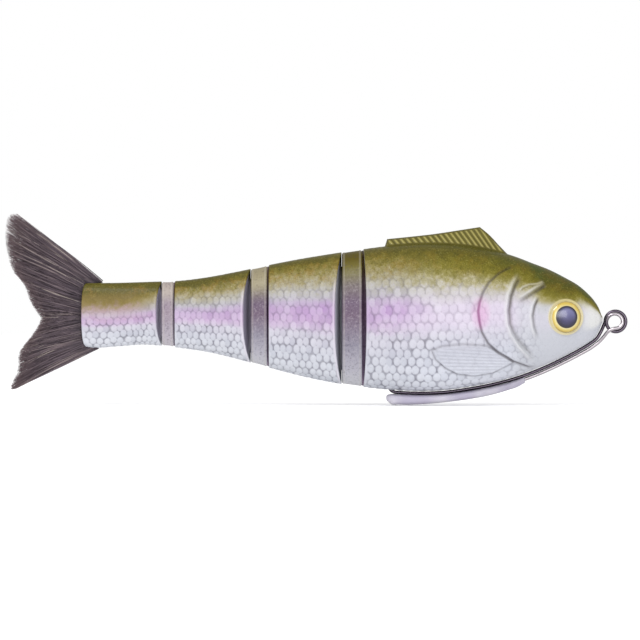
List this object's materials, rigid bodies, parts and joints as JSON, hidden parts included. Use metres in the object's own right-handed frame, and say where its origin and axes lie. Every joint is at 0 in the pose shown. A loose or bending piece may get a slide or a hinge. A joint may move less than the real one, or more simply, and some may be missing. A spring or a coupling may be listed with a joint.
{
  "type": "jointed swimbait",
  "caption": "Jointed trout-pattern swimbait: hollow sections on vertical hinges, wire line tie with keel weight, domed eyes, forked hair tail.",
  "frame": {"origin": "centre of the line-tie eye at the nose, on the mid-plane", "axes": "+X forward past the nose, +Z towards the back of the fish, +Y to the fish's left, the lure lying level and straight"},
  "size_m": [0.2119, 0.026, 0.0653],
  "materials": {
    "printed_skin": "printed trout skin under clear lacquer",
    "hinge_band": "mottled print, slightly recessed",
    "steel_wire": "bright drawn wire",
    "pearl_keel": "pearl paint",
    "eye_iris": "printed foil disc",
    "eye_lens": "clear domed resin over a dark pupil",
    "tail_hair": "dark bristle fibres",
    "tail_tab": "bound fibre root"
  },
  "bodies": {
    "head": {"head_shell_left": "printed_skin", "head_shell_right": "printed_skin", "front_hinge_block": "hinge_band", "front_hinge_pin": "steel_wire", "line_tie_wire": "steel_wire", "keel_weight": "pearl_keel", "left_eye_iris": "eye_iris", "left_eye_lens": "eye_lens", "right_eye_iris": "eye_iris", "right_eye_lens": "eye_lens"},
    "front_body": {"front_body_shell_left": "printed_skin", "front_body_shell_right": "printed_skin", "front_hinge_eye_upper": "steel_wire", "front_hinge_eye_lower": "steel_wire", "middle_hinge_block": "hinge_band", "middle_hinge_pin": "steel_wire"},
    "rear_body": {"rear_body_shell_left": "printed_skin", "rear_body_shell_right": "printed_skin", "middle_hinge_eye_upper": "steel_wire", "middle_hinge_eye_lower": "steel_wire", "rear_hinge_block": "hinge_band", "rear_hinge_pin": "steel_wire"},
    "tail_body": {"tail_body_shell_left": "printed_skin", "tail_body_shell_right": "printed_skin", "rear_hinge_eye_upper": "steel_wire", "rear_hinge_eye_lower": "steel_wire", "tail_tab": "tail_tab", "tail_pin": "steel_wire", "tail_brush_upper": "tail_hair", "tail_brush_lower": "tail_hair"}
  },
  "joints": [
    {"name": "front_hinge", "type": "hinge", "parent": "head", "child": "front_body", "pos_m": [-0.09, 0, 0], "axis": [0, 0, 1], "range_deg": [-12, 12]},
    {"name": "middle_hinge", "type": "hinge", "parent": "front_body", "child": "rear_body", "pos_m": [-0.1214, 0, 0], "axis": [0, 0, 1], "range_deg": [-16, 16]},
    {"name": "rear_hinge", "type": "hinge", "parent": "rear_body", "child": "tail_body", "pos_m": [-0.1522, 0, 0], "axis": [0, 0, 1], "range_deg": [-18, 18]}
  ]
}
